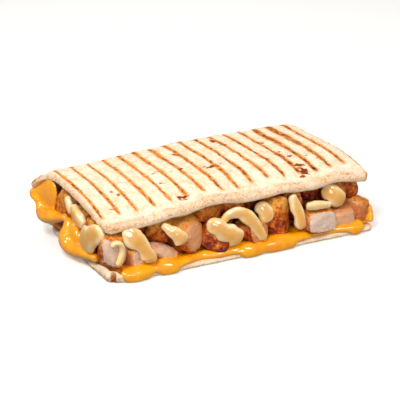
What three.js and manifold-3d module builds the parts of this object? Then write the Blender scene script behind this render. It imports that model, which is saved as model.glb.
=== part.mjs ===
// A toasted chicken and cheese quesadilla, lying flat: one wheat tortilla folded once over
// diced chicken and two melted cheeses, pressed on a ribbed grill and left whole.
// Millimetres. X runs along the open edge, -Y is the open edge, +Y the fold, Z is up.
// The origin is on the table, under the middle of the quesadilla.

import * as THREE from "three";
import { mergeVertices } from "three/addons/utils/BufferGeometryUtils.js";
import Module from "manifold-3d";

const wasm = await Module();
wasm.setup();

// ---------------------------------------------------------------- driving sizes

const LEFT_END = -81; // cut end of the tortilla, left
const RIGHT_END = 86.3; // cut end of the tortilla, right
const OPEN_EDGE_BOTTOM = -47.4; // open edge of the lower layer
const OPEN_EDGE_TOP = -44; // open edge of the upper layer, a little further back
const FOLD_OUT = 51; // furthest point of the fold
const FOLD_RUN = 19; // how far the rounded fold reaches from its start
const FOLD_MIDDLE = 19; // height of the middle of the fold
const CREST = 42; // highest line of the upper layer, towards the right
const CREST_DROP_LEFT = 3.6; // how much lower the crest is at the left end
const THICK_BOTTOM = 3; // tortilla thickness, lower layer
const THICK_TOP = 3.6; // tortilla thickness, upper layer
const HEM_EXTRA = 1.4; // how much thicker the left hem of the lower layer is
const GAP = 0.3; // kept between pieces that touch
const ABOVE_TABLE = 0.4; // cheese that hangs down stops this far above the table
const SHEET_TOP = 4.6; // upper side of the orange cheese
const CHUNK_REST = SHEET_TOP + GAP; // height at which the chicken rests on the cheese
const HEAP = { x0: -69, x1: 72, y0: -24.5, y1: 43, z1: 31.5 }; // filling behind the visible row

const FOLD_START = FOLD_OUT - FOLD_RUN;
const SHEET_UNDER = THICK_BOTTOM + GAP;

// ---------------------------------------------------------------- small helpers

const { abs, cos, exp, hypot, max, min, PI, sign, sin, sqrt } = Math;
const lerp = (a, b, t) => a + (b - a) * t;
const clamp = (t) => min(1, max(0, t));
const smooth = (t) => clamp(t) ** 2 * (3 - 2 * clamp(t));
const bump = (v, centre, width) => exp(-(((v - centre) / width) ** 2));
const degrees = (a) => (a * PI) / 180;

// Repeatable numbers between -1 and 1 from a whole number.
const scatter = (seed) => {
  const v = sin(seed * 127.1 + 311.7) * 43758.5453;
  return 2 * (v - Math.floor(v)) - 1;
};

const material = (color, roughness) =>
  new THREE.MeshStandardMaterial({ color, roughness, metalness: 0 });

const group = new THREE.Group();

function addMesh(name, geometry, look) {
  geometry.computeVertexNormals();
  const mesh = new THREE.Mesh(geometry, look);
  mesh.name = name;
  group.add(mesh);
}

// A geometry from a list of points and a list of triangles of one closed surface. Where the
// triangles enclose a negative volume, they face inwards, and all of them are turned round.
function geometryOf(points, triangles) {
  const volume = triangles.reduce((sum, [a, b, c]) => {
    const [p, q, r] = [points[a], points[b], points[c]];
    return sum +
      p[0] * (q[1] * r[2] - q[2] * r[1]) +
      p[1] * (q[2] * r[0] - q[0] * r[2]) +
      p[2] * (q[0] * r[1] - q[1] * r[0]);
  }, 0);
  const facing = volume < 0 ? triangles.map(([a, b, c]) => [a, c, b]) : triangles;
  const geometry = new THREE.BufferGeometry();
  geometry.setAttribute("position", new THREE.Float32BufferAttribute(points.flat(), 3));
  geometry.setIndex(facing.flat());
  return geometry;
}

// A closed surface from rings of points: each ring joins the next, and the first and the
// last ring are closed with a fan round their middle point.
function closedRings(rings) {
  const count = rings[0].length;
  const points = rings.flat();
  const triangles = [];
  for (let r = 0; r + 1 < rings.length; r += 1) {
    for (let k = 0; k < count; k += 1) {
      const a = r * count + k;
      const b = r * count + ((k + 1) % count);
      triangles.push([a, b, b + count], [a, b + count, a + count]);
    }
  }
  const middle = (ring) => [0, 1, 2].map((i) => ring.reduce((s, p) => s + p[i], 0) / count);
  const last = (rings.length - 1) * count;
  points.push(middle(rings[0]), middle(rings[rings.length - 1]));
  for (let k = 0; k < count; k += 1) {
    const next = (k + 1) % count;
    triangles.push([points.length - 2, next, k]);
    triangles.push([points.length - 1, last + k, last + next]);
  }
  return geometryOf(points, triangles);
}

function toSolid(geometry) {
  const bare = geometry.clone();
  bare.deleteAttribute("normal");
  bare.deleteAttribute("uv");
  const merged = mergeVertices(bare, 1e-4);
  const vertProperties = merged.attributes.position.array;
  const triVerts = new Uint32Array(merged.index.array);
  return new wasm.Manifold(new wasm.Mesh({ numProp: 3, vertProperties, triVerts }));
}

function fromSolid(solid) {
  const mesh = solid.getMesh();
  const geometry = new THREE.BufferGeometry();
  geometry.setAttribute("position", new THREE.BufferAttribute(mesh.vertProperties, 3));
  geometry.setIndex(new THREE.BufferAttribute(mesh.triVerts, 1));
  return geometry;
}

// The largest body of a solid: slivers left by a cut are dropped.
const SLIVER = 0.01; // faces thinner than this are dropped from cut solids
const largestBody = (solid) =>
  solid.decompose().reduce((best, body) => (body.volume() > best.volume() ? body : best));

// ---------------------------------------------------------------- tortilla

// Height of the outside of the upper layer: level at the back, sinking to the open edge,
// which waves up and down; the sag starts later and ends steeper towards the right.
const crestHeight = (x) =>
  CREST - CREST_DROP_LEFT * (1 - smooth((x + 85) / 110)) -
  2.8 * smooth((-76 - x) / 13) - 2.2 * smooth((x - 77) / 11);

const openEdgeHeight = (x) =>
  34.4 -
  2.6 * smooth((-20 - x) / 40) +
  0.9 * bump(x, -42, 7) +
  2.4 * bump(x, -14, 13) +
  1.5 * bump(x, 27, 9) +
  1.9 * bump(x, 62, 9) -
  0.8 * bump(x, 86, 9) -
  0.7 * bump(x, -80, 6);

function upperHeight(x, y) {
  const start = lerp(10, 2, smooth((x + 80) / 120));
  const power = lerp(1.6, 2.6, smooth((x + 70) / 140));
  const t = clamp((start - y) / (start - OPEN_EDGE_TOP - 2));
  return lerp(crestHeight(x), openEdgeHeight(x), t ** power);
}

// Outside line of the folded tortilla at x: the lower layer (0..1), the fold (1..2), which is
// round at the left and squarer towards the right, and the upper layer (2..3). It gives [y, z].
function outsideLine(s, x) {
  if (s <= 1) {
    return [lerp(OPEN_EDGE_BOTTOM, FOLD_START, s), 0];
  }
  if (s >= 2) {
    const y = lerp(FOLD_START, OPEN_EDGE_TOP, s - 2);
    return [y, upperHeight(x, y)];
  }
  const angle = degrees(-90 + 180 * (s - 1));
  const roundness = lerp(0.98, 0.62, smooth((x + 88) / 110));
  const out = FOLD_RUN * abs(cos(angle)) ** roundness;
  const up = sign(sin(angle)) * abs(sin(angle)) ** roundness;
  const reach = up > 0 ? crestHeight(x) - FOLD_MIDDLE : FOLD_MIDDLE;
  return [FOLD_START + out, FOLD_MIDDLE + up * reach];
}

// The two cut ends: the upper half of the fold flares out to the left like an ear, the fold's
// right end is tucked in, and the corners of both layers are rounded.
function cornerInset(s) {
  const radius = 6;
  const edgeLayer = s < 1.5 ? FOLD_START - OPEN_EDGE_BOTTOM : FOLD_START - OPEN_EDGE_TOP;
  const distance = min(s, 3 - s) * edgeLayer;
  return distance < radius ? radius - sqrt(radius ** 2 - (radius - distance) ** 2) : 0;
}
const leftEnd = (s) =>
  LEFT_END - 7.5 * bump(s, 1.72, 0.2) + 4 * bump(s, 1.32, 0.22) + cornerInset(s);
const rightEnd = (s) =>
  RIGHT_END + 2 * smooth(1.2 - s) - 6 * bump(s, 1.5, 0.3) - cornerInset(s);

// Rows and columns of the grid, closer together along the borders for the rounded rim.
function spread(length, border, inner) {
  const rim = border.map((d) => d / length);
  const steps = Array.from({ length: inner }, (_, i) =>
    lerp(rim[rim.length - 1], 1 - rim[rim.length - 1], i / (inner - 1)));
  const tail = rim.slice(0, -1).reverse().map((t) => 1 - t);
  return [...rim.slice(0, -1), ...steps, ...tail];
}

// The folded sheet as two skins that meet along a rounded rim. A grown copy, larger all round,
// cuts the cheese that lies against it.
function tortillaGeometry(grow) {
  const rimSteps = [0, 0.35, 1.6];
  const columns = spread(RIGHT_END - LEFT_END, rimSteps, 17);
  const rows = [
    ...rimSteps.map((d) => d / (FOLD_START - OPEN_EDGE_BOTTOM)),
    0.3, 0.6, 1, 1.12, 1.24, 1.36, 1.5, 1.62, 1.72, 1.8, 1.88, 2,
    2.15, 2.3, 2.45, 2.6, 2.74, 2.87,
    ...rimSteps.map((d) => 3 - d / (FOLD_START - OPEN_EDGE_TOP)).reverse(),
  ];
  const outerSkin = [];
  const innerSkin = [];
  const step = 0.02;
  const lastRow = rows.length - 1;
  const lastColumn = columns.length - 1;
  rows.forEach((s, r) => {
    columns.forEach((t, c) => {
      const x = lerp(leftEnd(s), rightEnd(s), t);
      const [y, z] = outsideLine(s, x);
      // direction of the line at this point, and from it the outward normal
      const s0 = s <= 1 ? max(0, s - step) : max(1, s - step);
      const s1 = s < 1 ? min(1, s + step) : min(3, s + step);
      const [y0, z0] = outsideLine(s0, x);
      const [y1, z1] = outsideLine(s1, x);
      const run = hypot(y1 - y0, z1 - z0);
      const normal = [(z1 - z0) / run, -(y1 - y0) / run];
      // the left hem of the lower layer is thicker
      const hem = s < 1 ? HEM_EXTRA * smooth((LEFT_END + 5.5 - x) / 3) : 0;
      const thick = lerp(THICK_BOTTOM, THICK_TOP, smooth(s - 1)) + hem;
      // rounded rim: full thickness only past half a thickness from the border
      const steps = min(r, lastRow - r, c, lastColumn - c);
      const share = [0, 0.6, 1][min(2, steps)];
      const outer = (thick * (1 - share)) / 2 - grow * share;
      const inner = (thick * (1 + share)) / 2 + grow * share;
      const aside = grow * ((c === lastColumn) - (c === 0));
      const ahead = grow * ((r === 0) + (r === lastRow));
      outerSkin.push([x + aside, y - ahead - normal[0] * outer, z - normal[1] * outer]);
      innerSkin.push([x + aside, y - ahead - normal[0] * inner, z - normal[1] * inner]);
    });
  });
  const width = columns.length;
  const half = rows.length * width;
  const triangles = [];
  for (let r = 0; r < lastRow; r += 1) {
    for (let c = 0; c < lastColumn; c += 1) {
      const a = r * width + c;
      const b = a + half;
      triangles.push([a, a + width, a + width + 1], [a, a + width + 1, a + 1]);
      triangles.push([b, b + width + 1, b + width], [b, b + 1, b + width + 1]);
    }
  }
  return geometryOf([...outerSkin, ...innerSkin], triangles);
}

// The open corner of the hem, front left: a small three-sided pocket.
function cornerPocket() {
  const at = [LEFT_END + 4, OPEN_EDGE_BOTTOM - 0.6, 0.7];
  const points = [
    [at[0] - 1.4, at[1], at[2] + 2.6],
    [at[0] + 1.4, at[1], at[2] + 2.4],
    [at[0] + 0.4, at[1], at[2]],
    [at[0], at[1] + 4, at[2] + 1.7],
  ];
  return geometryOf(points, [[0, 2, 1], [0, 1, 3], [1, 2, 3], [2, 0, 3]]);
}

const wheat = material("#efe2c8", 0.8);
const folded = toSolid(tortillaGeometry(0));
const foldedGrown = toSolid(tortillaGeometry(GAP));
addMesh("tortilla", fromSolid(folded.subtract(toSolid(cornerPocket()))), wheat);

// ---------------------------------------------------------------- chicken

// A piece of diced chicken is a box with soft edges and a few cut corners, worked out as a
// distance for each direction d: r = (sum over faces of (n.d / h)^power)^(-1 / power), so the
// piece always stays inside the planes n.x <= h.
const SOFTNESS = 9;

function chickenPiece(name, look, at, half, turn) {
  const rotation = new THREE.Matrix4().makeRotationFromEuler(
    new THREE.Euler(degrees(turn[0]), degrees(turn[1]), degrees(turn[2]), "ZYX"));
  const seed = name.length + at[0] * 3.1 + at[1] * 1.7;
  const faces = [];
  const addFace = (direction, distance) => {
    const n = direction.clone().normalize().applyMatrix4(rotation);
    faces.push({ n, h: distance });
  };
  [0, 1, 2].forEach((axis) => {
    [-1, 1].forEach((side) => {
      const lean = [0, 1, 2].map((i) => 0.14 * scatter(seed + axis * 7 + side * 3 + i));
      const direction = new THREE.Vector3(...lean);
      direction.setComponent(axis, side);
      addFace(direction, half[axis]);
    });
  });
  // cut corners
  for (let k = 0; k < 4; k += 1) {
    const direction = new THREE.Vector3(
      sign(scatter(seed + 31 + k)) * half[1] * half[2],
      sign(scatter(seed + 47 + k)) * half[0] * half[2],
      sign(scatter(seed + 61 + k)) * half[0] * half[1]);
    direction.normalize();
    const reach = abs(direction.x) * half[0] + abs(direction.y) * half[1] + abs(direction.z) * half[2];
    addFace(direction, reach * (0.74 + 0.08 * scatter(seed + 83 + k)));
  }
  return { name, look, at: new THREE.Vector3(...at), faces, half, rotation };
}

// Reach of a piece from its middle in a direction, as if it were a plain box.
function reachOf(piece, direction) {
  const local = direction.clone().applyMatrix4(piece.rotation.clone().transpose());
  return abs(local.x) * piece.half[0] + abs(local.y) * piece.half[1] + abs(local.z) * piece.half[2];
}

// Two pieces that press on each other get one flat contact, half a gap to each side of it: the
// plane is the one, of those square to a side of either box or to the line between their
// middles, along which they overlap least.
function pressTogether(a, b) {
  const between = b.at.clone().sub(a.at);
  const sides = [between.clone()];
  [a, b].forEach((piece) => {
    [0, 1, 2].forEach((axis) => {
      sides.push(new THREE.Vector3().setComponent(axis, 1).applyMatrix4(piece.rotation));
    });
  });
  let best = null;
  sides.forEach((side) => {
    const n = side.clone().normalize();
    if (n.dot(between) < 0) {
      n.negate();
    }
    const distance = n.dot(between);
    const reachA = reachOf(a, n);
    const reachB = reachOf(b, n);
    const overlap = reachA + reachB + GAP - distance;
    if (!best || overlap < best.overlap) {
      best = { n, distance, reachA, reachB, overlap };
    }
  });
  if (best.overlap <= 0) {
    return;
  }
  const contact = (best.distance * best.reachA) / (best.reachA + best.reachB);
  a.faces.push({ n: best.n, h: contact - GAP / 2 });
  b.faces.push({ n: best.n.clone().negate(), h: best.distance - contact - GAP / 2 });
}

// A flat limit for a piece: nothing of it past the plane n.x = limit.
const holdBack = (piece, n, limit) => piece.faces.push({ n, h: limit - n.dot(piece.at) });

function pieceGeometry(piece, detail, grow) {
  const sphere = new THREE.IcosahedronGeometry(1, detail);
  sphere.deleteAttribute("normal");
  sphere.deleteAttribute("uv");
  const geometry = mergeVertices(sphere, 1e-4);
  const position = geometry.attributes.position;
  const d = new THREE.Vector3();
  for (let i = 0; i < position.count; i += 1) {
    d.fromBufferAttribute(position, i).normalize();
    let sum = 0;
    piece.faces.forEach(({ n, h }) => {
      sum += max(0, n.dot(d) / (h + grow)) ** SOFTNESS;
    });
    d.multiplyScalar(sum ** (-1 / SOFTNESS)).add(piece.at);
    position.setXYZ(i, d.x, d.y, d.z);
  }
  return geometry;
}

// Pieces that are mostly out of sight, made with fewer faces.
const HALF_HIDDEN = /^(right_|behind_|in_shadow|under_melt)/;

const seared = material("#b4652c", 0.6);
const golden = material("#cf8b46", 0.55);
const poached = material("#e3b795", 0.5);

// Each piece: name, colour, middle, half sizes along its own axes, and turn about X, Y and Z.
const chicken = [
  // the row along the open edge, left to right
  ["corner", golden, [-72.3, -35.5, 15.5], [8, 8.5, 10], [0, 6, -18]],
  ["second", poached, [-62.5, -38.5, 11], [5.8, 6, 5.6], [0, 0, 8]],
  ["behind_second", seared, [-60, -30.5, 22.5], [6.5, 5.5, 5.5], [8, 0, 20]],
  ["slab", poached, [-46.5, -38, 10.8], [9.5, 6.5, 4.2], [0, 24, 6]],
  ["seared_lump", seared, [-44.5, -31.5, 20.5], [9, 6.5, 7], [10, 16, -8]],
  ["pale_lump", poached, [-31, -35.5, 16.5], [8.5, 9, 9.5], [0, -10, 24]],
  ["tilted", seared, [-15, -37.5, 13], [9.5, 8.5, 7], [-8, 18, -20]],
  ["behind_tilted", golden, [-14, -30, 24.5], [8, 5.5, 4.5], [0, 5, 12]],
  ["upper_middle", golden, [1.5, -30, 24.5], [6.5, 5.5, 5], [6, 0, -15]],
  ["under_blob", poached, [10.5, -38.5, 11.5], [7.2, 7.5, 6.2], [0, -8, 15]],
  ["golden_tall", golden, [26.3, -35.5, 16.8], [7.6, 8.2, 10.8], [-6, 8, 28]],
  ["behind_tall", golden, [38, -33, 23], [5.4, 6.5, 6], [0, 0, -12]],
  ["in_shadow", seared, [51.5, -29.8, 24.5], [6, 5, 4], [0, 0, 10]],
  ["white_face", poached, [52, -40, 11.2], [11, 8, 6.4], [-6, -2, 4]],
  ["under_melt", golden, [67.5, -31, 23], [9, 6, 6], [0, 10, 6]],
  ["top_right", seared, [76.4, -32.5, 24], [4.2, 6, 5.5], [0, 0, 12]],
  ["low_right", poached, [68.5, -38.5, 10.3], [7, 7, 5.2], [0, -6, -8]],
  ["last", golden, [79, -37, 12], [6.5, 7.5, 7], [0, 12, 14]],
  // the left end, front to back
  ["left_front", golden, [-74.8, -19, 17], [5.2, 7.5, 9.5], [0, 0, 6]],
  ["left_middle", golden, [-74.8, -2, 18], [5.2, 8, 10], [0, 4, -6]],
  ["left_back", seared, [-75.4, 17, 21], [6, 9, 11], [4, 0, 8]],
  // the right end, front to back
  ["right_front", golden, [78.6, -20, 14.5], [6, 7.8, 9], [0, -6, -8]],
  ["right_middle", poached, [78.6, -3.5, 17], [6, 7.5, 10], [0, 0, 10]],
  ["right_back", seared, [78.2, 13, 14.5], [5.8, 8, 9], [0, 6, -12]],
  ["right_fold", golden, [77.5, 29, 18], [5.2, 7.5, 10], [6, 0, 8]],
].map((row) => chickenPiece(...row));

const backwards = new THREE.Vector3(0, 1, 0);
const leftwards = new THREE.Vector3(-1, 0, 0);
const rightwards = new THREE.Vector3(1, 0, 0);
const downwards = new THREE.Vector3(0, 0, -1);

chicken.forEach((piece, i) => {
  chicken.slice(i + 1).forEach((other) => pressTogether(piece, other));
  // each piece lies on the cheese, under the upper layer, and outside the hidden heap
  holdBack(piece, downwards, -CHUNK_REST);
  const y = piece.at.y;
  const slope = (upperHeight(piece.at.x, y) - upperHeight(piece.at.x, y - 6)) / 6;
  const lid = new THREE.Vector3(0, -slope, 1).normalize();
  const under = upperHeight(piece.at.x, y) - THICK_TOP - 1.2;
  holdBack(piece, lid, lid.y * y + lid.z * under);
  if (piece.at.x < HEAP.x0) {
    holdBack(piece, rightwards, y < HEAP.y0 ? 0 : HEAP.x0 - GAP);
  }
  if (piece.at.x > HEAP.x1 && y > HEAP.y0) {
    holdBack(piece, leftwards, -HEAP.x1 - GAP);
  }
  if (y < HEAP.y0 - 4) {
    holdBack(piece, backwards, HEAP.y0 - GAP);
  }
});

chicken.forEach((piece) => {
  const detail = HALF_HIDDEN.test(piece.name) ? 1 : 2;
  addMesh("chicken_" + piece.name, pieceGeometry(piece, detail, 0), piece.look);
});

// The rest of the diced chicken, packed together inside the fold from end to end: one lumpy
// solid, rounded to the inside of the fold, with the dents between the pieces on its sides.
function heapGeometry() {
  const middle = new THREE.Vector3(
    (HEAP.x0 + HEAP.x1) / 2, (HEAP.y0 + HEAP.y1) / 2, (CHUNK_REST + HEAP.z1) / 2);
  const size = [
    (HEAP.x1 - HEAP.x0) / 2, (HEAP.y1 - HEAP.y0) / 2, (HEAP.z1 - CHUNK_REST) / 2];
  const around = 26;
  const up = [-1, -0.8, -0.3, 0.3, 0.8, 1];
  const rings = up.map((level, row) => {
    const ring = [];
    for (let k = 0; k < around; k += 1) {
      const angle = (2 * PI * k) / around;
      const dent = 1 - 0.014 * (1 + scatter(k * 5 + row * 11)) - (abs(level) === 1 ? 0.05 : 0);
      const x = sign(cos(angle)) * abs(cos(angle)) ** 0.4 * dent;
      const y = sign(sin(angle)) * abs(sin(angle)) ** 0.4 * dent;
      const pinch = y > 0 ? 1 - 0.12 * level ** 4 : 1;
      ring.push([middle.x + size[0] * x, middle.y + size[1] * y * pinch, middle.z + size[2] * level]);
    }
    return ring;
  });
  return closedRings(rings);
}
addMesh("chicken_heap", heapGeometry(), golden);

// ---------------------------------------------------------------- orange cheese

// The sheet of melted cheese lies on the lower layer from end to end. Its section is carried
// round the border: flat on top, with a soft rim that stops short of the tortilla's edge or,
// where a lobe ran over, hangs down outside it.
const border = [
  [LEFT_END, 38], [LEFT_END, -31], [-74.5, OPEN_EDGE_BOTTOM],
  [80, OPEN_EDGE_BOTTOM], [RIGHT_END, -41], [RIGHT_END, 38],
];

// How far the rim runs out past the tortilla: along the open edge by x, at the ends by y.
const frontRun = (x) =>
  0.4 +
  2.8 * bump(x, -64, 9) +
  2.2 * bump(x, -44, 6) -
  2.6 * bump(x, -24, 9) +
  2.4 * bump(x, 6, 7) +
  2.2 * bump(x, 20, 6) +
  1.8 * bump(x, 31, 5) -
  2.6 * bump(x, 54, 10) +
  1.6 * bump(x, 73, 8);
const leftRun = (y) => -1.5 + 2.5 * bump(y, 2, 9) + 2.5 * bump(y, 34, 8) - 1.5 * bump(y, -34, 9);
const rightRun = (y) => -0.8 + 1.2 * bump(y, -30, 7) + 1.2 * bump(y, 4, 7) + 1 * bump(y, 27, 6);

function sheetGeometry() {
  const outline = [];
  const side = (from, to, steps, out, run) => {
    for (let k = 0; k < steps; k += 1) {
      const t = k / steps;
      const x = lerp(from[0], to[0], t);
      const y = lerp(from[1], to[1], t);
      outline.push({ x, y, out, run: run(x, y) });
    }
  };
  const slant = sqrt(0.5);
  side(border[0], border[1], 10, [-1, 0], (x, y) => leftRun(y));
  side(border[1], border[2], 3, [-0.93, -0.37], (x) => frontRun(x) - 2.2);
  side(border[2], border[3], 30, [0, -1], (x) => frontRun(x));
  side(border[3], border[4], 2, [slant, -slant], () => -0.8);
  side(border[4], border[5], 10, [1, 0], (x, y) => rightRun(y));
  side(border[5], border[0], 5, [0, 1], () => 0);
  const inward = 7;
  const section = ({ x, y, out, run }) => {
    const hang = smooth((run - 0.9) / 1.2);
    const low = lerp(SHEET_UNDER, ABOVE_TABLE, hang);
    const wall = min(run - 0.5, 0.4);
    const line = [
      [-inward, SHEET_TOP], [run - 1.1, SHEET_TOP], [run - 0.1, lerp(SHEET_TOP, low, 0.35)],
      [run - 0.3, low], [wall, low], [wall - 0.1, SHEET_UNDER], [-inward, SHEET_UNDER],
    ];
    return line.map(([d, z]) => [x + out[0] * d, y + out[1] * d, z]);
  };
  const sections = outline.map(section);
  const rings = sections[0].map((_, i) => sections.map((line) => line[i]));
  return closedRings(rings);
}

// A run of melted cheese: oval sections carried along a smooth line. Each station is
// [x, y, z, half width, half thickness], and the thickness points in the given direction. What
// would pass through the table is flattened just above it.
function runGeometry(stations, outward, sides) {
  const line = new THREE.CatmullRomCurve3(stations.map(([x, y, z]) => new THREE.Vector3(x, y, z)));
  const count = (stations.length - 1) * 2;
  const rings = [];
  for (let i = 0; i <= count; i += 1) {
    const t = i / count;
    const at = line.getPoint(t);
    const across = line.getTangent(t).cross(outward).normalize();
    const k = min(stations.length - 2, Math.floor(i / 2));
    const wide = lerp(stations[k][3], stations[k + 1][3], i / 2 - k);
    const thick = lerp(stations[k][4], stations[k + 1][4], i / 2 - k);
    rings.push(Array.from({ length: sides }, (_, j) => {
      const angle = (2 * PI * j) / sides;
      const p = at.clone().addScaledVector(across, wide * cos(angle));
      p.addScaledVector(outward, thick * sin(angle));
      return [p.x, p.y, max(p.z, ABOVE_TABLE)];
    }));
  }
  return closedRings(rings);
}

// Cheese that wells out of the ends and hangs over the hem: a flap from the left ear, the lobe
// under it that thins out to the front, a wide lobe at the middle of the left end, and a curl at
// the right end of the open edge.
const wellings = [
  runGeometry([
    [-86.4, 47, 24.5, 4.5, 2], [-84.6, 37, 26, 7.4, 2.6], [-82.6, 28, 26.5, 7.2, 2.6],
    [-80.5, 20, 27, 5.5, 2.4],
  ], leftwards, 8),
  runGeometry([[-82.2, 38, 23, 4.5, 2.4], [-82, 37.5, 14, 5, 2.6], [-80.5, 36, 4.6, 5, 2.6]], leftwards, 8),
  runGeometry([
    [-82.6, 43, 13.6, 3.2, 2.8], [-83.6, 35, 14.2, 4.2, 3.6], [-82.4, 22, 16.8, 3, 2.8],
    [-81.2, 9, 19.5, 2.6, 2.2],
  ], leftwards, 8),
  runGeometry([
    [-80.8, 11, 19, 2.6, 2], [-81.6, 8, 13.5, 4.6, 3], [-82, 2, 9, 6.2, 3.8],
    [-81.6, -10, 8.6, 4.6, 3.4], [-80.8, -25, 9, 2.8, 2.6],
  ], leftwards, 8),
  runGeometry([
    [86, -42.5, 14, 1.6, 1.2], [86.5, -42.5, 9, 3.2, 1.5], [85, -42.5, 4.4, 5, 2.4],
  ], rightwards, 8),
];

const orange = material("#f39a12", 0.25);
const chickenGrown = chicken.map((piece) => toSolid(pieceGeometry(piece, 2, GAP)));
let orangeSolid = toSolid(sheetGeometry());
wellings.forEach((geometry) => {
  let welling = toSolid(geometry);
  chickenGrown.forEach((piece) => {
    welling = welling.subtract(piece);
  });
  orangeSolid = orangeSolid.add(welling);
});
orangeSolid = largestBody(orangeSolid.subtract(foldedGrown)).simplify(SLIVER);
addMesh("orange_cheese", fromSolid(orangeSolid), orange);

// ---------------------------------------------------------------- pale cheese

// Strands and blobs of pale melted cheese over the chicken, hollowed where they lie on it.
const cream = material("#ead59a", 0.2);

const forwards = new THREE.Vector3(0, -1, 0);
const atLeftEnd = [
  ["left_high", [[-80.6, 9, 31, 1.8, 1.2], [-81.2, 5.5, 28, 2.5, 1.6], [-81, 3, 24, 2, 1.3]]],
  ["left_middle", [[-80.4, 1, 29, 2.2, 1.4], [-81.4, -5, 26.5, 4.6, 1.9], [-81.4, -11, 24.6, 4.8, 2],
    [-81, -14.5, 24, 3, 1.7]]],
  ["left_low", [[-80.2, -38, 28, 4, 1.6], [-81.6, -30, 23, 6.4, 2.2], [-82, -21.5, 17, 7, 2.6],
    [-81.4, -15, 11.5, 4.4, 2.2]]],
];
const alongOpenEdge = [
  ["hook", [[-78.8, -45.4, 21.4, 1.4, 1.2], [-76.4, -46, 23.2, 1.7, 1.4], [-73.2, -46.2, 21, 1.8, 1.4],
    [-74.4, -46.6, 13.5, 1.8, 1.5], [-75.9, -46.4, 10.4, 1.7, 1.5]]],
  ["s_shape", [[-66, -42, 27.5, 4.2, 1.6], [-65, -43.8, 23.5, 5, 2], [-61, -45, 18, 4.6, 2.1],
    [-57.3, -46.2, 12.5, 4.2, 2.3], [-57.4, -46.6, 8.6, 3.8, 2.2]]],
  ["yellow", [[-46, -41.4, 26, 1.8, 1.2], [-42.5, -43.6, 22.8, 2.8, 1.7], [-37.5, -45, 18.6, 4.3, 2.3],
    [-35.2, -45.4, 16, 3.8, 2.2]]],
  ["wide", [[-20, -42.5, 24, 3.4, 1.6], [-13, -45, 19, 5.2, 2.1], [-5.5, -46, 14, 5.8, 2.4],
    [-1.5, -46, 10, 4.6, 2.2]]],
  ["arch", [[-10.5, -41, 21, 2.4, 1.3], [-5.5, -42, 25.5, 3, 1.6], [1.5, -43, 25, 3.6, 1.8],
    [7, -44.6, 19, 3.6, 1.9], [12.5, -46, 10.5, 2.8, 1.7]]],
  ["blob", [[14, -39, 26, 3.4, 1.7], [16.8, -41, 22, 4.8, 2.1], [18, -43, 16.5, 3.6, 1.8]]],
  ["upright", [[34.5, -42, 27, 2.6, 1.5], [36, -43.6, 22, 3.4, 1.7], [38, -45, 14, 4, 1.9],
    [38.6, -45.4, 9.4, 3.4, 1.7]]],
  ["level", [[42, -44.2, 22.5, 2.2, 1.3], [50, -44.8, 21.6, 2.4, 1.5], [58.5, -44, 20.6, 1.8, 1.3]]],
  ["melt", [[56.6, -38.6, 27.6, 4, 1.8], [62.5, -41.2, 24.5, 6.2, 2.4], [67.5, -42.4, 18.5, 4.6, 2.1]]],
];

function addStrand([name, stations], outward) {
  let solid = toSolid(runGeometry(stations, outward, 8));
  chickenGrown.forEach((piece) => {
    solid = solid.subtract(piece);
  });
  solid = solid.subtract(orangeSolid).subtract(foldedGrown);
  addMesh("pale_cheese_" + name, fromSolid(largestBody(solid).simplify(SLIVER)), cream);
}
atLeftEnd.forEach((strand) => addStrand(strand, leftwards));
alongOpenEdge.forEach((strand) => addStrand(strand, forwards));

export default group;
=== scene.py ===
"""Looks of a toasted chicken and cheese quesadilla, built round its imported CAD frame.

One wheat tortilla is folded over diced chicken, an orange cheese that melted into a sheet and
a pale cheese that melted into strands, and was pressed on a ribbed grill. Sizes in the
sections are millimetres, in the frame's own axes: X along the open edge, -Y the open edge,
+Y the fold, Z up, with the origin on the table under the middle.
"""

import math

import bpy
import numpy as np
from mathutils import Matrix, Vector


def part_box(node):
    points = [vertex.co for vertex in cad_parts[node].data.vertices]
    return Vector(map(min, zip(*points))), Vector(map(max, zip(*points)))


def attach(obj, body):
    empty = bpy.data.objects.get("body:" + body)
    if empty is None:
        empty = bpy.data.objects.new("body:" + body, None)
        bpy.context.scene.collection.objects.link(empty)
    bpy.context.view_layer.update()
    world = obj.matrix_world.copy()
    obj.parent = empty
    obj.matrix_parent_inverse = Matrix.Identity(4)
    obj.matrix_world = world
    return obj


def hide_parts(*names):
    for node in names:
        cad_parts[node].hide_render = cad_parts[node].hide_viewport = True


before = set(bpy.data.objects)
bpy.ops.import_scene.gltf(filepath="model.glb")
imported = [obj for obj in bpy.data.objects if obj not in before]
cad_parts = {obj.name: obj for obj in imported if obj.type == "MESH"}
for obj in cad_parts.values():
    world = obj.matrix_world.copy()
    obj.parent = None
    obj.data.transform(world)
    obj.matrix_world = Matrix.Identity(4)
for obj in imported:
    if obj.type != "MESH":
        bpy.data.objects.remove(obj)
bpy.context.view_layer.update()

MM = 0.001

# ------------------------------------------------------------------ table, light and camera
# A plain white table under round soft lights: a key high on the left, a window on each side of
# it, a low fill in front and a rim light behind. The camera stands low at the left, far back.

def new_material(name):
    """A material with its Principled BSDF, ready for nodes: returns it and its node tree."""
    material = bpy.data.materials.new(name)
    material.use_nodes = True
    return material, material.node_tree


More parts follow.
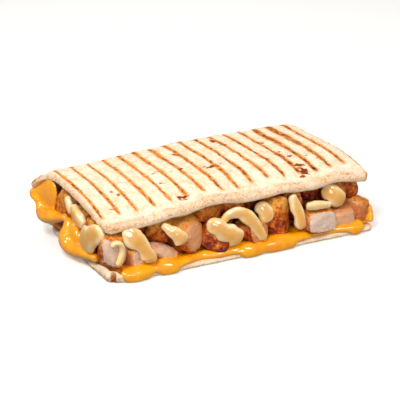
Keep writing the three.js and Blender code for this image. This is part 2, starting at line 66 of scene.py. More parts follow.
table_material, tree = new_material("table_white")
shader = tree.nodes["Principled BSDF"]
shader.inputs["Base Color"].default_value = (0.93, 0.93, 0.92, 1)
shader.inputs["Roughness"].default_value = 0.9
shader.inputs["Specular IOR Level"].default_value = 0.1
shader.inputs["Emission Color"].default_value = (1, 1, 1, 1)
shader.inputs["Emission Strength"].default_value = 0.12
TABLE_REACH = 6000
table_mesh = bpy.data.meshes.new("table")
table_mesh.from_pydata(
    [(x * TABLE_REACH * MM, y * TABLE_REACH * MM, 0) for x, y in ((-1, -1), (1, -1), (1, 1), (-1, 1))],
    [], [(0, 1, 2, 3)])
table_mesh.materials.append(table_material)
table = bpy.data.objects.new("table", table_mesh)
bpy.context.scene.collection.objects.link(table)
# the food isn't lit or mirrored from below, so the cheeses keep their depth
table.visible_glossy = False
table.visible_diffuse = False

world = bpy.data.worlds.new("surround")
world.use_nodes = True
world.node_tree.nodes["Background"].inputs["Color"].default_value = (1.0, 0.985, 0.96, 1)
world.node_tree.nodes["Background"].inputs["Strength"].default_value = 0.32
bpy.context.scene.world = world
bpy.context.scene.view_settings.view_transform = "Standard"


def seen_from(middle, azimuth, elevation, distance):
    """A point seen from middle at an azimuth and elevation in degrees: 0,0 is straight out
    from the open edge, and the azimuth turns towards +X."""
    a, e = math.radians(azimuth), math.radians(elevation)
    out = np.array([math.sin(a) * math.cos(e), -math.cos(a) * math.cos(e), math.sin(e)])
    return middle + distance * out


def aim(thing, spot, middle):
    """Puts a light or camera in the scene at spot, looking at middle, both in metres."""
    bpy.context.scene.collection.objects.link(thing)
    thing.location = spot
    thing.rotation_euler = Vector(middle - spot).to_track_quat("-Z", "Y").to_euler()


LOOK_AT = np.array([-2.5, 0.0, 18.9]) * MM
# name, azimuth, elevation, distance and width in metres, power in watts, tint
for name, azimuth, elevation, distance, width, power, tint in (
    ("key", -52, 52, 1.1, 0.36, 6.3, (1.0, 0.98, 0.95)),
    ("left_window", -104, 40, 1.1, 0.34, 3.4, (1.0, 0.99, 0.97)),
    ("front_window", 22, 48, 1.2, 0.3, 3.2, (1.0, 0.98, 0.96)),
    ("front_fill", -12, 20, 1.3, 0.4, 5.2, (1.0, 0.98, 0.96)),
    ("back_rim", 150, 50, 1.2, 0.5, 3.2, (1.0, 0.99, 0.98)),
):
    lamp = bpy.data.lights.new(name, "AREA")
    lamp.shape = "DISK"
    lamp.size = width
    lamp.energy = power
    lamp.color = tint
    aim(bpy.data.objects.new(name, lamp), seen_from(LOOK_AT, azimuth, elevation, distance), LOOK_AT)

lens = bpy.data.cameras.new("camera")
lens.lens = 120
lens.sensor_width = 36
lens.clip_end = 20
camera = bpy.data.objects.new("camera", lens)
aim(camera, seen_from(LOOK_AT, -27.5, 21, 771.35 * MM), LOOK_AT)
bpy.context.scene.camera = camera

# ------------------------------------------------------------------ tortilla
# One soft wheat tortilla, folded once. It lies flat under the filling, rounds up over the
# fold and sags to the open edge. It is two skins of one grid that meet along a rounded rim,
# with blisters, a puffed open edge and the grill's ribs pressed lightly into it.

LEFT_END, RIGHT_END = -81.0, 86.3
OPEN_EDGE_BOTTOM, OPEN_EDGE_TOP = -47.4, -44.0
FOLD_RUN, FOLD_MIDDLE = 19.0, 19.0
FOLD_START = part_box("tortilla")[1].y / MM - FOLD_RUN
LOWER_WIDTH, UPPER_WIDTH = FOLD_START - OPEN_EDGE_BOTTOM, FOLD_START - OPEN_EDGE_TOP
CREST, CREST_DROP_LEFT = 42.0, 3.6
THICK_BOTTOM, THICK_TOP, HEM_EXTRA, CORNER_EXTRA = 3.0, 3.6, 1.5, 2.0
RIB_PITCH, FIRST_RIB = 10.18, -77.65


def facing_out(points, triangles):
    """The triangles of a closed surface, turned round if its volume, a sixth of the sum of
    a.(b x c) over their corners, comes out negative."""
    a, b, c = (points[triangles[:, k]] for k in range(3))
    return triangles if (a * np.cross(b, c)).sum() > 0 else triangles[:, ::-1]


def mesh_from(name, points, triangles, marks=None):
    """A mesh from points in millimetres and triangles as rows of three numbers, facing out.
    marks are named numbers, one for each point."""
    triangles = facing_out(points, triangles)
    mesh = bpy.data.meshes.new(name)
    mesh.vertices.add(len(points))
    mesh.vertices.foreach_set("co", (points * MM).astype(np.float32).ravel())
    mesh.loops.add(triangles.size)
    mesh.loops.foreach_set("vertex_index", triangles.astype(np.int32).ravel())
    mesh.polygons.add(len(triangles))
    mesh.polygons.foreach_set("loop_start", np.arange(0, triangles.size, 3, dtype=np.int32))
    mesh.update(calc_edges=True)
    mesh.shade_smooth()
    for mark, values in (marks or {}).items():
        layer = mesh.attributes.new(mark, "FLOAT", "POINT")
        layer.data.foreach_set("value", np.broadcast_to(values, len(points)).astype(np.float32))
    return mesh


def add_piece(name, mesh, material, stands_for=()):
    """Puts a finished mesh in the scene as a piece of the object, riding on its one body."""
    piece = bpy.data.objects.new(name, mesh)
    bpy.context.scene.collection.objects.link(piece)
    mesh.materials.append(material)
    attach(piece, "root")
    if stands_for:
        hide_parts(*stands_for)
    return piece


def lerp(a, b, t):
    """The point t of the way from a to b."""
    return a + (b - a) * t


def smooth(t):
    """0 below 0, 1 above 1, and a smooth step between."""
    t = np.clip(t, 0, 1)
    return t * t * (3 - 2 * t)


def bump(v, middle, width):
    """A round hill one high: e to the minus ((v - middle) / width) squared."""
    return np.exp(-(((v - middle) / width) ** 2))


def wander(points, size, seed):
    """Smooth repeatable unevenness from -1 to 1: a scrambled number at each corner of cubes
    of the given size, blended between the corners by a smooth step."""
    place = points / size
    low = np.floor(place).astype(np.int64)
    part = smooth(place - low)
    total = np.zeros(points.shape[:-1])
    for corner in np.ndindex(2, 2, 2):
        key = (low + corner) @ np.array([73856093, 19349663, 83492791]) + seed * 7919
        key = ((key ^ (key >> 13)) * 1274126177) & 0x7FFFFFFF
        value = ((key ^ (key >> 15)) % 65536) / 32767.5 - 1
        total += value * np.prod(np.where(corner, part, 1 - part), axis=-1)
    return total


def crest_height(x):
    """Height of the crest along X: lower at the left, and drooping at both ends."""
    return (CREST - CREST_DROP_LEFT * (1 - smooth((x + 85) / 110))
            - 2.8 * smooth((-76 - x) / 13) - 2.2 * smooth((x - 77) / 11))


def open_edge_height(x):
    """Height of the upper layer's open edge: lifted in hills by what lies under it."""
    return (34.4 - 2.6 * smooth((-20 - x) / 40) + 0.9 * bump(x, -42, 7) + 2.4 * bump(x, -14, 13)
            + 1.5 * bump(x, 27, 9) + 1.9 * bump(x, 62, 9) - 0.8 * bump(x, 86, 9)
            - 0.7 * bump(x, -80, 6))


def upper_height(x, y):
    """Outside of the upper layer: the crest, falling to the open edge by a power of the way."""
    start = lerp(10, 2, smooth((x + 80) / 120))
    power = lerp(1.6, 2.6, smooth((x + 70) / 140))
    t = np.clip((start - y) / (start - OPEN_EDGE_TOP - 2), 0, 1)
    return lerp(crest_height(x), open_edge_height(x), t ** power)


def outside_line(s, x):
    """The folded line at x, as (y, z): lower layer for s 0 to 1, the fold, a superellipse
    that is squarer to the right, for 1 to 2, and the upper layer for 2 to 3."""
    angle = np.radians(-90 + 180 * (np.clip(s, 1, 2) - 1))
    roundness = lerp(0.98, 0.62, smooth((x + 88) / 110))
    out = np.abs(np.cos(angle)) ** roundness
    up = np.sign(np.sin(angle)) * np.abs(np.sin(angle)) ** roundness
    reach = np.where(up > 0, crest_height(x) - FOLD_MIDDLE, FOLD_MIDDLE)
    y = np.where(s < 1, lerp(OPEN_EDGE_BOTTOM, FOLD_START, s),
                 np.where(s > 2, lerp(FOLD_START, OPEN_EDGE_TOP, s - 2), FOLD_START + FOLD_RUN * out))
    z = np.where(s < 1, 0.0, np.where(s > 2, upper_height(x, y), FOLD_MIDDLE + up * reach))
    return y, z


def corner_inset(s, radius=6.0):
    """How far the cut ends draw in near the open edge, as a quarter circle."""
    layer = np.where(s < 1.5, LOWER_WIDTH, UPPER_WIDTH)
    distance = np.minimum(np.minimum(s, 3 - s) * layer, radius)
    return radius - np.sqrt(radius ** 2 - (radius - distance) ** 2)


def end_lines(s):
    """The two cut ends along the folded line: the left flares out into an ear over the fold,
    and the right is tucked in there."""
    left = LEFT_END - 7.5 * bump(s, 1.72, 0.2) + 4 * bump(s, 1.32, 0.22) + corner_inset(s)
    right = RIGHT_END + 2 * smooth(1.2 - s) - 6 * bump(s, 1.5, 0.3) - corner_inset(s)
    return left, right


def steps_with_rim(length, rim, rim_steps, inner_steps):
    """0 to 1 along a length, with steps that crowd into a quarter turn over the rim."""
    turn = (1 - np.cos(np.linspace(0, np.pi / 2, rim_steps + 1))) * rim / length
    inner = np.linspace(turn[-1], 1 - turn[-1], inner_steps)
    return np.concatenate([turn[:-1], inner, 1 - turn[-2::-1]])


RIM = 1.9
COLUMNS = steps_with_rim(RIGHT_END - LEFT_END, RIM, 7, 214)
LOWER = steps_with_rim(LOWER_WIDTH, RIM, 7, 62)
UPPER = steps_with_rim(UPPER_WIDTH, RIM, 7, 112)
ROWS = np.concatenate([LOWER[LOWER < 1 - 2 * RIM / LOWER_WIDTH], np.linspace(1, 2, 44),
                       2 + UPPER[UPPER > 2 * RIM / UPPER_WIDTH]])

# burnt spots: x, y, half length, half width, turn in degrees, darkness
BURNT = (
    (24, 26, 1.6, 3.2, -10, 0.75), (31, 29, 4.0, 0.9, 8, 0.6), (58, -16, 1.2, 0.9, 0, 0.6),
    (-62, -9, 1.5, 1.2, 0, 0.6), (-59, -13, 2.0, 1.1, 30, 0.65), (-68.5, -26, 1.8, 1.2, 0, 0.7),
    (-51.5, -2.5, 1.2, 0.6, 0, 0.55), (-48, 2, 1.0, 0.6, 0, 0.35), (-32, 0, 1.4, 0.8, 0, 0.7),
    (-29, 1.5, 2.2, 0.8, -20, 0.6), (-33.5, -12.5, 1.6, 1.0, -30, 0.65), (-30, -32, 2.4, 1.9, -40, 1.1),
    (-16, -1.5, 1.1, 0.9, 0, 0.9), (-7, 10.5, 2.6, 1.2, 10, 0.5), (-8, 20, 3.2, 1.1, -70, 0.65),
    (0.5, -8, 3.6, 1.1, 10, 0.95), (-3, -5.5, 1.6, 1.0, 0, 0.75), (21.5, 30, 2.4, 2.4, 0, 1.0),
    (24.5, 21.5, 2.0, 1.3, 0, 0.9), (32, 25, 3.8, 0.8, 15, 0.55), (-1, -39, 1.4, 0.9, 0, 0.55),
    (-57, -39, 0.9, 0.6, 0, 0.5), (-76, -36, 0.9, 0.6, 0, 0.4), (-72, -27, 0.8, 0.6, 0, 0.35),
    (55.5, 11.5, 1.4, 0.9, 20, 0.85), (46.5, 14, 1.3, 0.9, 0, 0.75), (47, -5, 1.5, 0.8, 0, 0.8),
    (37, -1, 0.9, 0.7, 0, 0.5), (49, -14, 1.7, 1.4, 0, 0.95), (43, -15, 0.9, 0.6, 0, 0.5),
    (47.5, -24.5, 3.0, 1.1, -20, 1.05), (48, -31.5, 2.4, 2.0, -60, 1.2), (44.5, -35, 1.8, 0.9, 20, 0.8),
    (62.5, -21.5, 2.3, 0.8, 0, 0.85), (17.5, -25, 2.2, 0.8, 10, 0.6), (26.5, -25.5, 1.4, 0.9, 0, 0.5),
    (20, -31, 1.4, 0.7, 0, 0.45), (75, -18, 1.0, 0.5, 0, 0.5), (78, -12, 0.9, 0.5, 0, 0.5),
    (-89, 31, 1.1, 0.8, 0, 0.5), (-85.5, 33, 1.1, 0.8, 0, 0.5), (-84.5, 27, 1.0, 0.7, 0, 0.45),
)
SPOT_SPREAD = 1.35


def burnt_at(x, y, points):
    """How burnt the top is: the most over the spots of an oval hill that falls from its
    darkness to 0 between 0.35 and 1.35 radii, with the distance bent by wander."""
    total = np.zeros(x.shape)
    ragged = wander(points, 0.9, 31) * 0.8 + wander(points, 2.3, 32) * 0.4
    for spot_x, spot_y, long, wide, turn, dark in BURNT:
        c, s = math.cos(math.radians(turn)), math.sin(math.radians(turn))
        along = ((x - spot_x) * c + (y - spot_y) * s) / (long * SPOT_SPREAD)
        across = ((y - spot_y) * c - (x - spot_x) * s) / (wide * SPOT_SPREAD)
        total = np.maximum(total, dark * smooth(1.35 - np.hypot(along, across) + ragged))
    return total


def tortilla_mesh():
    """Two skins over the grid (s along the folded line, t from the left to the right end).
    Each point lies on the outside line, moved along the line's normal by half a thickness in
    and then back out or further in by the rim's quarter circle, plus the relief."""
    s, t = np.meshgrid(ROWS, COLUMNS, indexing="ij")
    left, right = end_lines(s)
    x = lerp(left, right, t)
    y, z = outside_line(s, x)
    step = 0.012
    low = np.where(s <= 1, np.maximum(s - step, 0), np.maximum(s - step, 1))
    high = np.where(s < 1, np.minimum(s + step, 1), np.minimum(s + step, 3))
    y0, z0 = outside_line(low, x)
    y1, z1 = outside_line(high, x)
    run = np.hypot(y1 - y0, z1 - z0)
    out_y, out_z = (z1 - z0) / run, -(y1 - y0) / run
    place = np.stack([x, y, z], axis=-1)

    # distance to the border, and the rim's quarter circle
    layer = np.where(s < 1.5, LOWER_WIDTH, UPPER_WIDTH)
    to_open = np.minimum(s, 3 - s) * layer
    to_end = np.minimum(x - left, right - x)
    border = np.minimum(to_open, to_end)
    share = np.sqrt(np.clip(1 - (1 - np.clip(border / RIM, 0, 1)) ** 2, 0, 1))

    # the hem at the left end of the lower layer, higher at its front corner
    corner_extra = CORNER_EXTRA * smooth((-27 - y) / 9)
    hem = smooth((5.5 - (x - left)) / 3) * (HEM_EXTRA + corner_extra) * (s < 1)
    thick = lerp(THICK_BOTTOM, THICK_TOP, smooth(s - 1)) + hem
    puff = smooth((6.5 - to_open) / 5) * (s > 2) * (1 + 0.7 * wander(place, 7, 3))
    thick = thick + 0.3 * puff

    # relief of the outside: slow waves, blisters, and the shallow grooves of the ribs
    from_rib = np.abs((x - FIRST_RIB + wander(place * [0.3, 1, 1], 9, 5) * 0.5) / RIB_PITCH)
    from_rib = np.abs(from_rib - np.round(from_rib)) * RIB_PITCH
    groove = smooth((1.3 - from_rib) / 1.0)
    pressed = smooth((to_open - 6) / 5)
    relief = sum(high * wander(place, size, seed) for high, size, seed in (
        (0.35, 16, 1), (0.3, 6, 2), (0.13, 2.2, 4), (0.07, 1.1, 9)))
    blister = smooth((wander(place, 4.2, 6) - 0.45) / 0.4)
    relief = relief + 0.45 * blister * pressed - 0.32 * groove * pressed
    crease = bump(to_open, 6.3, 1.0) * (s > 2)
    relief = relief - 0.3 * crease * smooth((x - 5) / 30) + 0.2 * puff
    flat = (z < 0.4) & (s < 1.06)
    outer_relief = np.where(flat, -0.12 * np.abs(relief), relief) * share
    ragged = wander(place, 1.5, 7) * 0.3 + wander(place, 0.8, 8) * 0.15
    aside = ragged * smooth(1 - border / 2.2)

    # the opening at the left front corner of the lower layer, where the hem did not close
    corner_x, corner_y = (x - LEFT_END - 2.2) / 2.3, (y - OPEN_EDGE_BOTTOM - 1.6) / 2.0
    pocket = bump(np.hypot(corner_x, corner_y), 0, 1.0) * (s < 0.5)
    # painted shade: the hollow of the opening is painted dark through the burnt mark, on both skins
    painted_opening_shade = 0.95 * smooth(2.4 * pocket - 0.6) * (share < 0.97)

    outer = thick * (1 - share) / 2 - outer_relief
    inner = thick * (1 + share) / 2 + 0.3 * wander(place, 7, 11) * share
    skins = []
    for depth in (outer, inner):
        skins.append(np.stack([x + aside * np.where(t < 0.5, -1, 1) * (to_end < to_open) + 1.5 * pocket,
                               y - out_y * depth - aside * (to_open <= to_end) + 1.2 * pocket,
                               z - out_z * depth], axis=-1))
    skins[0][..., 2] = np.maximum(skins[0][..., 2], 0.0)

    # marks: how strongly and how broadly the ribs browned, how burnt, with the painted shade of the
    # corner opening, and how near the rim
    front_fade = smooth((to_open - 8.5 - 3 * wander(place * [1, 0, 0], 8, 21)) / 5)
    over_back = smooth((z - 10) / 10)
    rib = np.where(s > 1.2, front_fade * over_back, 0.55 * smooth((to_open - 4) / 6))
    burnt_and_painted_shade = np.maximum(burnt_at(x, y, place) * (s > 1.6) * (share > 0.5), painted_opening_shade)
    rim = smooth((7.0 - to_open) / 3.5) * (s > 2) + smooth((2.4 - to_end) / 1.2)
    rib_number = (x - FIRST_RIB) / RIB_PITCH
    last_ribs = bump(rib_number, 14, 0.4) + 0.7 * bump(rib_number, 13, 0.4)
    broad = (0.8 + 0.25 * wander(place * [0.3, 1, 1], 9, 41) + 0.12 * smooth((x - 5) / 40)
             + 1.3 * last_ribs * smooth((y + 18) / 30)
             + 0.25 * bump(rib_number, 6, 2) * smooth((y - 12) / 12) - 0.12 * smooth((-45 - x) / 12))
    none = 0 * x
    marks_outer = {"rib": rib, "burnt_and_painted_shade": burnt_and_painted_shade, "rim": rim, "inside": none, "broad": broad}
    marks_inner = {"rib": none, "burnt_and_painted_shade": painted_opening_shade, "rim": none, "inside": share, "broad": broad}

    # the two skins share the points of the border
    order = np.arange(s.size).reshape(s.shape)
    on_border = np.zeros(s.shape, bool)
    on_border[[0, -1], :] = True
    on_border[:, [0, -1]] = True
    under = np.where(on_border, order, 0)
    under[~on_border] = s.size + np.arange((~on_border).sum())
    points = np.concatenate([skins[0].reshape(-1, 3), skins[1][~on_border]])
    marks = {k: np.concatenate([marks_outer[k].ravel(), marks_inner[k][~on_border]])
             for k in marks_outer}

    def skin(grid):
        """Two triangles for each square of a grid of point numbers."""
        a, b, c, d = grid[:-1, :-1], grid[1:, :-1], grid[1:, 1:], grid[:-1, 1:]
        return np.concatenate([np.stack([a, b, c], -1).reshape(-1, 3),
                               np.stack([a, c, d], -1).reshape(-1, 3)])

    triangles = np.concatenate([skin(order), skin(under)[:, ::-1]])
    return mesh_from("tortilla_sheet", points, triangles, marks)


def hex_colour(code):
    """A linear RGBA colour from its sRGB hexadecimal code."""
    srgb = [int(code[i:i + 2], 16) / 255 for i in (0, 2, 4)]
    linear = [v / 12.92 if v <= 0.04045 else ((v + 0.055) / 1.055) ** 2.4 for v in srgb]
    return (*linear, 1.0)


class Nodes:
    """Short hand for one node tree: each call adds a node, sets or links its inputs in the
    order or by the names given, and returns its first output. Colours are given as codes."""

    def __init__(self, tree):
        self.tree = tree

    def add(self, kind, inputs=(), output=0, **settings):
        node = self.tree.nodes.new("ShaderNode" + kind)
        for key, value in settings.items():
            setattr(node, key, value)
        pairs = inputs.items() if isinstance(inputs, dict) else enumerate(inputs)
        for key, value in pairs:
            if isinstance(value, bpy.types.NodeSocket):
                self.tree.links.new(value, node.inputs[key])
            else:
                code = isinstance(value, str)
                node.inputs[key].default_value = hex_colour(value) if code else value
        return node.outputs[output]

    def math(self, operation, *inputs, clamp=False):
        return self.add("Math", inputs, operation=operation, use_clamp=clamp)

    def times(self, a, b, clamp=False):
        return self.math("MULTIPLY", a, b, clamp=clamp)

    def plus(self, a, b):
        return self.math("ADD", a, b)

    def minus(self, a, b):
        return self.math("SUBTRACT", a, b)

    def ramp(self, value, low, high):
        """0 where the value is under low, 1 over high, smooth between."""
        return self.add("MapRange", {"Value": value, "From Min": low, "From Max": high},
                        interpolation_type="SMOOTHSTEP", clamp=True)

    def noise(self, place, size, detail=2.0, rough=0.5):
        """Noise from 0 to 1 whose lumps are about size millimetres across."""
        return self.add("TexNoise", {"Vector": place, "Scale": 1 / (size * MM), "Detail": detail,
                                     "Roughness": rough})

    def mix(self, share, a, b):
        """A colour that goes from a to b as share goes from 0 to 1."""
        return self.add("Mix", {0: share, 6: a, 7: b}, output=2, data_type="RGBA")

    def mark(self, name):
        """One of the numbers that the mesh carries on its points."""
        return self.add("Attribute", output=2, attribute_name=name)

    def colours(self, value, stops):
        """A colour ramp through (place, colour) stops."""
        colour = self.add("ValToRGB", [value])
        steps = colour.node.color_ramp.elements
        steps[0].position, steps[0].color = stops[0][0], hex_colour(stops[0][1])
        steps[-1].position, steps[-1].color = stops[-1][0], hex_colour(stops[-1][1])
        for place, code in stops[1:-1]:
            steps.new(place).color = hex_colour(code)
        return colour

    def effect(self, group, **inputs):
        """Adds a node group, links or sets its inputs by name and returns all its outputs."""
        return self.add("Group", inputs, node_tree=group).node.outputs

    def finish(self, colour, roughness, height, distance, strength=1.0, **constants):
        """Links the Principled BSDF's colour, roughness and bump, whose distance is in metres,
        and sets its other inputs by name, with _ for a space."""
        shader = self.tree.nodes["Principled BSDF"]
        normal = self.add("Bump", {"Strength": strength, "Distance": distance, "Height": height})
        for title, socket in (("Base Color", colour), ("Roughness", roughness), ("Normal", normal)):
            self.tree.links.new(socket, shader.inputs[title])
        shader.inputs["Subsurface Scale"].default_value = 1.0
        for title, value in constants.items():
            shader.inputs[title.replace("_", " ")].default_value = value


def effect_group(name, inputs, outputs):
    """An empty shader node group with inputs and outputs given as {name: kind of socket}:
    returns it with its nodes, what it is given by name and what it has to make by name."""
    group = bpy.data.node_groups.new(name, "ShaderNodeTree")
    for way, sockets in (("INPUT", inputs), ("OUTPUT", outputs)):
        for title, kind in sockets.items():
            group.interface.new_socket(title, in_out=way, socket_type="NodeSocket" + kind)
    given = group.nodes.new("NodeGroupInput").outputs
    made = group.nodes.new("NodeGroupOutput").inputs
    return group, Nodes(group), given, made


def grain_group():
    """The grain of a dry, toasted surface: fine lumps as a value from 0 to 1, and a height
    for the bump that adds a grain half as fine."""
    group, n, given, made = effect_group("toasted_grain", {"Place": "Vector", "Size": "Float"},
                                         {"Lumps": "Float", "Height": "Float"})
    place = given["Place"]
    scale = n.math("DIVIDE", 1 / MM, given["Size"])
    lumps = n.add("TexNoise", {"Vector": place, "Scale": scale, "Detail": 3.0, "Roughness": 0.65})
    finer = n.add("TexNoise", {"Vector": place, "Scale": n.times(scale, 2.0), "Detail": 2.0,
                               "Roughness": 0.5})
    height = n.plus(n.times(lumps, 0.9), n.times(finer, 0.55))
    group.links.new(lumps, made["Lumps"])
    group.links.new(height, made["Height"])
    return group


toasted_grain = grain_group()


def tortilla_material():
    """Floured and freckled dough under the browned rib marks, the burnt spots, the painted shade of the
    corner opening and the rim.
    """
    material, tree = new_material("toasted_tortilla")
    n = Nodes(tree)
    place = n.add("TexCoord", output=3)
    x = n.add("SeparateXYZ", [place])

    # flour: cream, mottled with white dust and pinkish grey
    mottle = n.noise(place, 7, 4, 0.6)
    grain = n.effect(toasted_grain, Place=place, Size=1.5)
    fine = grain["Lumps"]
    flour = n.mix(n.ramp(mottle, 0.35, 0.68), "f6e3c8", "ebcaa6")
    flour = n.mix(n.ramp(fine, 0.5, 0.72), flour, "fff6ea")
    flour = n.mix(n.times(n.ramp(n.noise(place, 2.6, 3, 0.7), 0.52, 0.68), 0.5), flour, "e3b06c")

    # freckles where the dough caught the heat
    freckle = n.ramp(n.noise(place, 1.3, 3, 0.75), 0.6, 0.7)
    patch = n.ramp(n.noise(place, 12, 2), 0.42, 0.66)
    freckle = n.times(freckle, n.plus(n.times(patch, 0.75), 0.08))
    colour = n.mix(freckle, flour, "c98035")

    # rib marks: lines along Y at every pitch, wavering, broken into darker and paler lengths
    slow = n.add("VectorMath", [place, (0.35, 1.0, 1.0)], operation="MULTIPLY")
    waver = n.times(n.minus(n.noise(slow, 22, 1), 0.5), 2.0 * MM)
    ragged = n.times(n.minus(n.noise(place, 0.8, 3, 0.7), 0.5), 2.2 * MM)
    along = n.plus(x, n.plus(waver, ragged))
    turns = n.math("DIVIDE", n.minus(along, FIRST_RIB * MM), RIB_PITCH * MM)
    nearest = n.math("ROUND", turns)
    away = n.times(n.math("ABSOLUTE", n.minus(turns, nearest)), RIB_PITCH)
    number = n.add("CombineXYZ", [nearest, 0.0, 0.0])
    each = n.add("TexWhiteNoise", [number], noise_dimensions="3D")
    to_right = n.ramp(x, -20 * MM, 70 * MM)
    width = n.times(n.mark("broad"), n.plus(0.62, n.times(n.noise(slow, 4, 2), 0.8)))
    line = n.minus(1.0, n.ramp(n.math("DIVIDE", away, width), 0.6, 1.3))
    longer = n.add("VectorMath", [place, (1.0, 0.5, 0.5)], operation="MULTIPLY")
    broken = n.ramp(n.noise(longer, 2.0, 3, 0.7), 0.36, 0.6)
    broken = n.plus(n.times(broken, 0.7), 0.3)
    rib = n.times(n.times(line, broken), n.mark("rib"))
    depth = n.plus(n.times(each, 0.35), n.times(to_right, 0.3))
    depth = n.plus(depth, n.times(n.ramp(n.noise(slow, 5, 3, 0.6), 0.42, 0.66), 0.7))
    depth = n.minus(depth, 0.12)
    browned = n.colours(depth, ((0.0, "d8781a"), (0.35, "aa4e06"), (0.7, "862f02"), (1.0, "4c1602")))
    halo = n.minus(1.0, n.ramp(n.math("DIVIDE", away, width), 0.8, 2.6))
    halo = n.times(n.times(halo, n.mark("rib")), 0.9)
    colour = n.mix(halo, colour, "ec9a38")
    colour = n.mix(rib, colour, browned)

    # burnt spots, and the painted shade of the corner opening in the same tones
    speck = n.noise(place, 0.8, 2, 0.7)
    burnt_and_painted_shade = n.plus(n.mark("burnt_and_painted_shade"), n.times(n.minus(speck, 0.5), 0.9))
    spot = n.ramp(burnt_and_painted_shade, 0.35, 0.62)
    burnt_tone = n.colours(burnt_and_painted_shade, ((0.35, "d88430"), (0.7, "b05416"), (1.0, "74300a")))
    colour = n.mix(spot, colour, burnt_tone)

    # the rim keeps more flour, with toasted grit in its creases
    grit = n.times(n.ramp(n.noise(place, 1.1, 3, 0.75), 0.48, 0.6),
                   n.ramp(n.noise(place, 6, 2, 0.6), 0.3, 0.6))
    rim = n.times(n.mark("rim"), n.plus(n.times(grit, 0.75), 0.22), clamp=True)
    colour = n.mix(rim, colour, "c47f34")
    inside = n.times(n.mark("inside"), 0.65)
    colour = n.mix(inside, colour, "e6c79a")

    height = n.minus(grain["Height"], n.times(rib, 0.6))
    roughness = n.minus(0.78, n.times(rib, 0.15))
    n.finish(colour, roughness, height, 0.35 * MM, Specular_IOR_Level=0.2, Subsurface_Weight=0.12,
             Subsurface_Radius=(1.2 * MM, 0.8 * MM, 0.5 * MM))
    return material


add_piece("tortilla_sheet", tortilla_mesh(), tortilla_material(), ["tortilla"])

# ------------------------------------------------------------------ diced chicken
# Chicken breast fried in large pieces and then diced: some sides are cut and pale, with fine
# fibres, and the others keep the browned crust. Each piece is a box with slightly leaning
# sides and cut corners, kept inside the space of its CAD solid.


def ring_faces(rings, around):
    """Triangles of stacked closed rings. The first and the last ring are closed by fans round
    two middle points, which come after all the rings' points."""
    a = np.arange((rings - 1) * around)
    b = a - a % around + (a + 1) % around
    sides = np.concatenate([np.stack([a, b, b + around], -1), np.stack([a, b + around, a + around], -1)])
    k = np.arange(around)
    after = (k + 1) % around
    last = (rings - 1) * around
    first_fan = np.stack([np.full(around, rings * around), after, k], -1)
    last_fan = np.stack([np.full(around, rings * around + 1), last + k, last + after], -1)
    return np.concatenate([sides, first_fan, last_fan])


def ball_directions(rings, around):
    """Directions over a ball in rings from the bottom to the top, then the two poles."""
    up = np.linspace(-np.pi / 2, np.pi / 2, rings + 2)[1:-1]
    turn = np.linspace(0, 2 * np.pi, around, endpoint=False)
    up, turn = np.meshgrid(up, turn, indexing="ij")
    ball = np.stack([np.cos(up) * np.cos(turn), np.cos(up) * np.sin(turn), np.sin(up)], -1)
    return np.concatenate([ball.reshape(-1, 3), [[0, 0, -1], [0, 0, 1]]])


def turned(degrees):
    """Turn about X, then Y, then Z, as a matrix."""
    (ca, cb, cc), (sa, sb, sc) = np.cos(np.radians(degrees)), np.sin(np.radians(degrees))
    about_x = np.array([[1, 0, 0], [0, ca, -sa], [0, sa, ca]])
    about_y = np.array([[cb, 0, sb], [0, 1, 0], [-sb, 0, cb]])
    about_z = np.array([[cc, -sc, 0], [sc, cc, 0], [0, 0, 1]])
    return about_z @ about_y @ about_x


FINE, COARSE = (54, 84), (27, 42)  # rings and points round each, near the surface and inside
WAYS = np.array([[-1, 0, 0], [1, 0, 0], [0, -1, 0], [0, 1, 0], [0, 0, 1], [0, 0, -1]], float)
SOFTNESS, ROOM = 40, 1.13


def box_planes(half, turn, random):
    """The six sides of a piece, each leaning a little, and three cut corners or edges, as
    normals and distances from the middle."""
    half = np.array(half, float)
    normals, distances = [], []
    for way in WAYS:
        axis = int(np.argmax(np.abs(way)))
        lean = random.uniform(-0.13, 0.13, 3)
        lean[axis] = way[axis]
        normals.append(lean)
        distances.append(half[axis])
    for _ in range(3):
        corner = np.sign(random.uniform(-1, 1, 3)) * random.choice([1, 1, 0.25], 3)
        corner = corner * half[::-1].mean() / half
        corner = corner / np.linalg.norm(corner)
        normals.append(corner)
        distances.append((np.abs(corner) * half).sum() * random.uniform(0.74, 0.9))
    normals = np.array(normals)
    normals /= np.linalg.norm(normals, axis=1)[:, None]
    return normals @ turned(turn).T, np.array(distances)


def space_of(node, middle):
    """The flat sides of a CAD node, as normals and distances from the middle."""
    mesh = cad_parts[node].data
    corners = np.array([v.co for v in mesh.vertices]).reshape(-1, 3) / MM - middle
    sides = np.array([p.vertices for p in mesh.polygons])
    a, b, c = corners[sides[:, 0]], corners[sides[:, 1]], corners[sides[:, 2]]
    normals = np.cross(b - a, c - a)
    size = np.linalg.norm(normals, axis=1)
    normals, a = normals[size > 1e-6] / size[size > 1e-6, None], a[size > 1e-6]
    distances = np.einsum("ij,ij->i", normals, a)
    return normals[distances > 0.3], distances[distances > 0.3]


